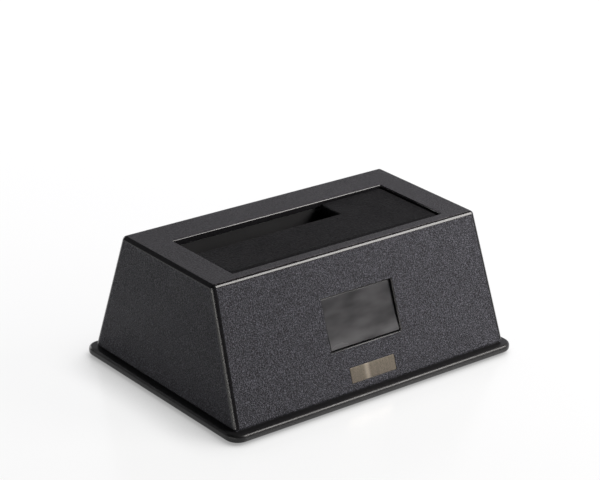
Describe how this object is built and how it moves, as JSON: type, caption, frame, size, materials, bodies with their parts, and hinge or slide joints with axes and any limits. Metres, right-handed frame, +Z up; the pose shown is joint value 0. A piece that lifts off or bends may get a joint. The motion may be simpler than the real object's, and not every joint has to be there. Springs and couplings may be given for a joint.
{
  "type": "hard drive docking station",
  "caption": "Desktop hard drive docking station: sloped shell on a flanged base, with a sprung notched flap over the drive slot, a drive socket below it and ports at the rear.",
  "frame": {"origin": "middle of the base, on the surface that the feet stand on", "axes": "+X along the front to the right as seen from the front, +Y to the back, +Z up"},
  "size_m": [0.1408, 0.0952, 0.054],
  "materials": {
    "shell_plastic": "black, coarse moulded grain on the slopes, satin top",
    "base_plastic": "black, fine moulded grain",
    "flap_plastic": "black, satin",
    "inner_plastic": "black, plain",
    "button_plastic": "black, satin",
    "foot_rubber": "matt black",
    "screw_steel": "zinc plated",
    "spring_steel": "drawn wire",
    "badge_gloss": "gloss black, bare",
    "lens_satin": "champagne, satin, brushed across",
    "led_clear": "clear epoxy",
    "board_green": "green solder mask",
    "chip_black": "moulded epoxy, bare",
    "can_metal": "drawn can",
    "contact_gold": "gold flash",
    "socket_plastic": "black, glass filled",
    "port_steel": "nickel plated",
    "port_white": "natural white"
  },
  "bodies": {
    "housing": {"upper_housing": "shell_plastic", "base_plate": "base_plastic", "rubber_feet": "foot_rubber", "base_screws": "screw_steel", "drive_bay": "inner_plastic", "bay_screws": "screw_steel", "hinge_pin": "screw_steel", "flap_spring": "spring_steel", "badge_plate": "badge_gloss", "status_lens": "lens_satin", "status_led": "led_clear", "circuit_board": "board_green", "board_screws": "screw_steel", "sata_socket": "socket_plastic", "sata_contacts": "contact_gold", "bridge_chip": "chip_black", "memory_chip": "chip_black", "crystal": "can_metal", "capacitors": "can_metal", "inductor": "chip_black", "usb_shell": "port_steel", "usb_tongue": "port_white", "usb_contacts": "contact_gold", "dc_jack": "socket_plastic", "dc_pin": "port_steel", "switch_body": "socket_plastic", "button_spring": "spring_steel"},
    "flap": {"flap": "flap_plastic"},
    "button": {"power_button": "button_plastic", "switch_plunger": "port_white"}
  },
  "joints": [
    {"name": "flap_hinge", "type": "hinge", "parent": "housing", "child": "flap", "pos_m": [0, -0.0164, 0.0502], "axis": [-1, 0, 0], "range_deg": [0, 90], "stiffness_Nm_per_rad": 0.004, "springref_deg": -57.3, "deforming": ["flap_spring"]},
    {"name": "button_press", "type": "slide", "parent": "housing", "child": "button", "axis": [0, -1, 0], "range_m": [0, 0.002], "stiffness_N_per_m": 400, "springref_m": -0.002, "deforming": ["button_spring"]}
  ]
}
